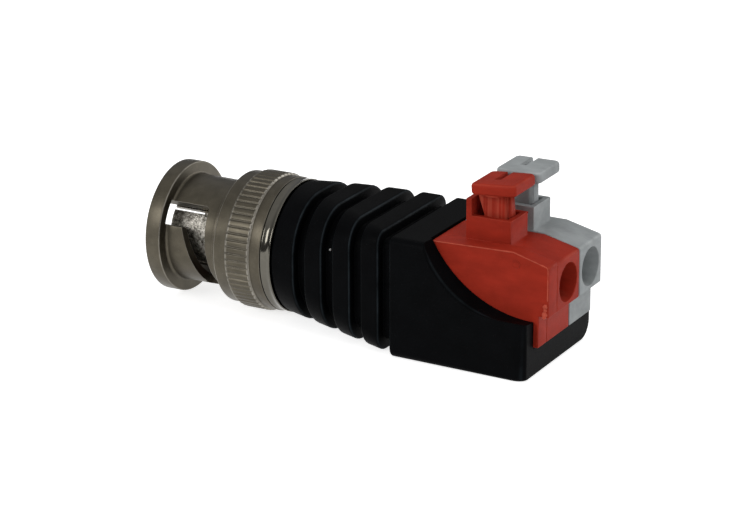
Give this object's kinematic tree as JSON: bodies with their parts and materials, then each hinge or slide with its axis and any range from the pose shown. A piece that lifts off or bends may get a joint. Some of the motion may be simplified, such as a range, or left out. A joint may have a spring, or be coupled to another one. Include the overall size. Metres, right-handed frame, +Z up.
{
  "type": "bnc push terminal adapter",
  "caption": "Bayonet coaxial plug with a ribbed strain-relief housing and push-button spring-clamp wire terminals, for joining a two-core cable to a coaxial socket.",
  "frame": {"origin": "centre of the bounding box in plan, at the flat underside of the housing", "axes": "+X along the connector axis from the coupling's mouth to the wire entries, +Z up through the push buttons"},
  "size_m": [0.0478, 0.0158, 0.0196],
  "materials": {
    "nickel_plate": "satin nickel plate",
    "nickel_polished": "polished nickel plate",
    "gold_plate": "gold plate",
    "spring_steel": "bright spring steel",
    "tinned_brass": "tinned brass",
    "white_insulator": "white insulator",
    "silicone": "soft silicone",
    "black_plastic": "fine satin moulding",
    "red_plastic": "satin moulding",
    "grey_plastic": "satin moulding",
    "black_wire": "wire sleeve",
    "red_wire": "wire sleeve"
  },
  "bodies": {
    "adapter": {"housing": "black_plastic", "plug_body": "nickel_plate", "rear_collar": "nickel_polished", "insulator": "white_insulator", "centre_pin": "gold_plate", "gasket": "silicone", "wave_washer": "spring_steel", "red_terminal_shell": "red_plastic", "red_side_cover": "red_plastic", "grey_terminal_shell": "grey_plastic", "red_clamp_spring": "spring_steel", "grey_clamp_spring": "spring_steel", "red_contact": "tinned_brass", "grey_contact": "tinned_brass", "signal_wire": "red_wire", "ground_wire": "black_wire"},
    "coupling_slider": {"thrust_washer": "tinned_brass"},
    "coupling": {"coupling_sleeve": "nickel_plate", "retaining_ring": "spring_steel"},
    "red_button": {"red_button": "red_plastic"},
    "grey_button": {"grey_button": "grey_plastic"}
  },
  "joints": [
    {"name": "coupling_slide", "type": "slide", "parent": "adapter", "child": "coupling_slider", "axis": [-1, 0, 0], "range_m": [0, 0.0006], "stiffness_N_per_m": 2000},
    {"name": "coupling_turn", "type": "hinge", "parent": "coupling_slider", "child": "coupling", "pos_m": [0, 0, 0.00757], "axis": [1, 0, 0], "continuous": true},
    {"name": "red_button_press", "type": "slide", "parent": "adapter", "child": "red_button", "axis": [0, 0, -1], "range_m": [0, 0.0016], "stiffness_N_per_m": 4000, "springref_m": -0.0008, "deforming": ["red_clamp_spring"]},
    {"name": "grey_button_press", "type": "slide", "parent": "adapter", "child": "grey_button", "axis": [0, 0, -1], "range_m": [0, 0.0016], "stiffness_N_per_m": 4000, "springref_m": -0.0008, "deforming": ["grey_clamp_spring"]}
  ]
}
